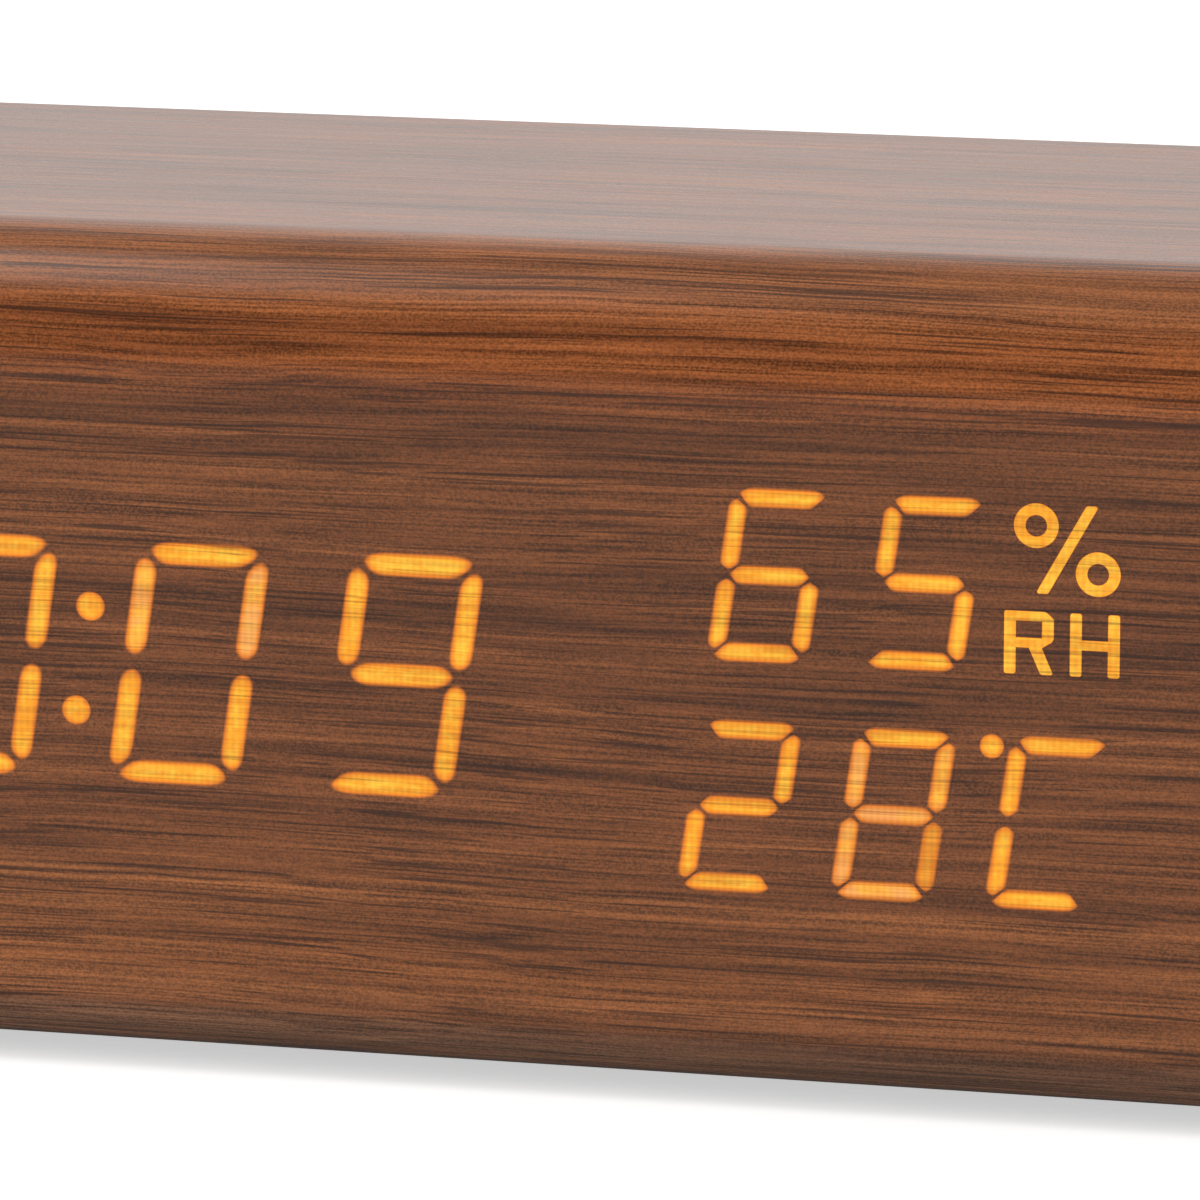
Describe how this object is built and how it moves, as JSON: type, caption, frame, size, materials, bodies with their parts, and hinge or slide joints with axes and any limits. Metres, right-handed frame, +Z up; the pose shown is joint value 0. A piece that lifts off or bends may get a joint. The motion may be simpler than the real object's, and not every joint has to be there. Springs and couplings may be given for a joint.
{
  "type": "wireless charging clock",
  "caption": "Wood-grain block clock with lit digits shining through its front, a phone charging pad under its flat top and buttons, socket and cell door at the back.",
  "frame": {"origin": "centre of the footprint, on the table under the feet", "axes": "+X to the right seen from the front, +Y to the back, +Z up"},
  "size_m": [0.15, 0.0726, 0.069],
  "materials": {
    "wood_film": "satin walnut-grain film",
    "board_core": "plain pressed board",
    "black_plastic": "fine matte texture",
    "button_plastic": "satin",
    "white_plastic": "satin",
    "rubber": "matte",
    "light_guide": "diffusing, lit amber",
    "circuit": "green solder mask",
    "chip": "moulded",
    "copper": "enamelled wire",
    "ferrite": "matte",
    "steel": "plated",
    "polyimide": "clear amber film"
  },
  "bodies": {
    "case": {"wood_film": "wood_film", "board_sleeve": "board_core", "end_panel_right": "board_core", "end_panel_left": "board_core", "end_film_right": "wood_film", "end_film_left": "wood_film", "foot_front_left": "rubber", "foot_front_right": "rubber", "foot_rear_left": "rubber", "foot_rear_right": "rubber", "display_reflector": "black_plastic", "segment_light_guide": "light_guide", "display_board": "circuit", "display_driver": "chip", "display_screw_1": "steel", "display_screw_2": "steel", "display_screw_3": "steel", "display_screw_4": "steel", "rear_cover": "black_plastic", "rear_screw_1": "steel", "rear_screw_2": "steel", "rear_screw_3": "steel", "rear_screw_4": "steel", "set_switch": "steel", "up_switch": "steel", "down_switch": "steel", "alarm_switch": "steel", "control_board": "circuit", "clock_controller": "chip", "charge_controller": "chip", "power_inductor": "ferrite", "coil_connector": "white_plastic", "buzzer": "chip", "climate_sensor": "steel", "ribbon_cable": "polyimide", "usb_shell": "steel", "usb_tongue": "chip", "control_screw_1": "steel", "control_screw_2": "steel", "control_screw_3": "steel", "control_screw_4": "steel", "backup_cell": "steel", "cell_contact_base": "steel", "cell_contact_side": "steel", "charging_coil": "copper", "ferrite_shield": "ferrite", "coil_carrier": "white_plastic", "coil_screw_1": "steel", "coil_screw_2": "steel", "coil_lead": "copper"},
    "set_key": {"set_button": "button_plastic", "set_switch_plunger": "chip"},
    "up_key": {"up_button": "button_plastic", "up_switch_plunger": "chip"},
    "down_key": {"down_button": "button_plastic", "down_switch_plunger": "chip"},
    "alarm_key": {"alarm_button": "button_plastic", "alarm_switch_plunger": "chip"},
    "cell_door": {"battery_door": "black_plastic"}
  },
  "joints": [
    {"name": "set_press", "type": "slide", "parent": "case", "child": "set_key", "axis": [0, -1, 0], "range_m": [0, 0.0005], "stiffness_N_per_m": 600},
    {"name": "up_press", "type": "slide", "parent": "case", "child": "up_key", "axis": [0, -1, 0], "range_m": [0, 0.0005], "stiffness_N_per_m": 600},
    {"name": "down_press", "type": "slide", "parent": "case", "child": "down_key", "axis": [0, -1, 0], "range_m": [0, 0.0005], "stiffness_N_per_m": 600},
    {"name": "alarm_press", "type": "slide", "parent": "case", "child": "alarm_key", "axis": [0, -1, 0], "range_m": [0, 0.0005], "stiffness_N_per_m": 600},
    {"name": "cell_door_turn", "type": "hinge", "parent": "case", "child": "cell_door", "pos_m": [0.0379, 0.0348, 0.0235], "axis": [-1, 0, 0], "range_deg": [0, 75]}
  ]
}
